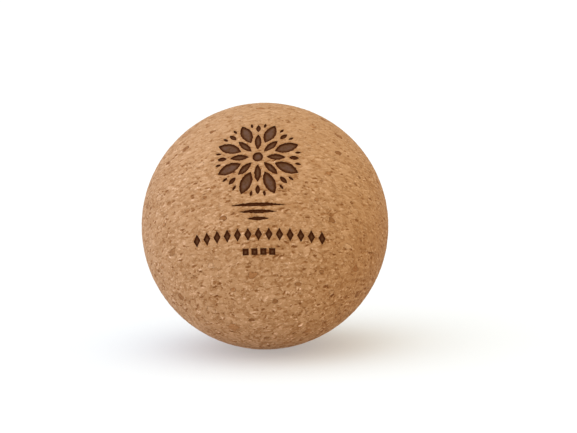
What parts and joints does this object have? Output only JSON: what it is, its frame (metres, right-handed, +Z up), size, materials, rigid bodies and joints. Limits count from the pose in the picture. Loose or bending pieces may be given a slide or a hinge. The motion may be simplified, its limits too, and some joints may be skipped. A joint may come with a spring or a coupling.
{
  "type": "massage ball",
  "caption": "Small solid ball of pressed cork granules with a burned-in decorative mark, rolled under the hand or foot for self-massage.",
  "frame": {"origin": "the centre of the ball", "axes": "+Z up and -Y the front, which the burned mark faces; the mark's own axis is tilted 27 degrees up from -Y, and its upright direction lies in the Y-Z plane; +X is to the right when the mark is looked at from the front"},
  "size_m": [0.04, 0.04, 0.04],
  "materials": {
    "cork": "matte",
    "bark_cork": "matte",
    "russet_cork": "matte",
    "pale_cork": "matte",
    "char": "matte"
  },
  "bodies": {
    "root": {"cork_body": "cork", "bark_granules": "bark_cork", "russet_granules": "russet_cork", "pale_granules": "pale_cork", "emblem_char": "char", "border_char": "char", "size_pips_char": "char"}
  },
  "joints": []
}
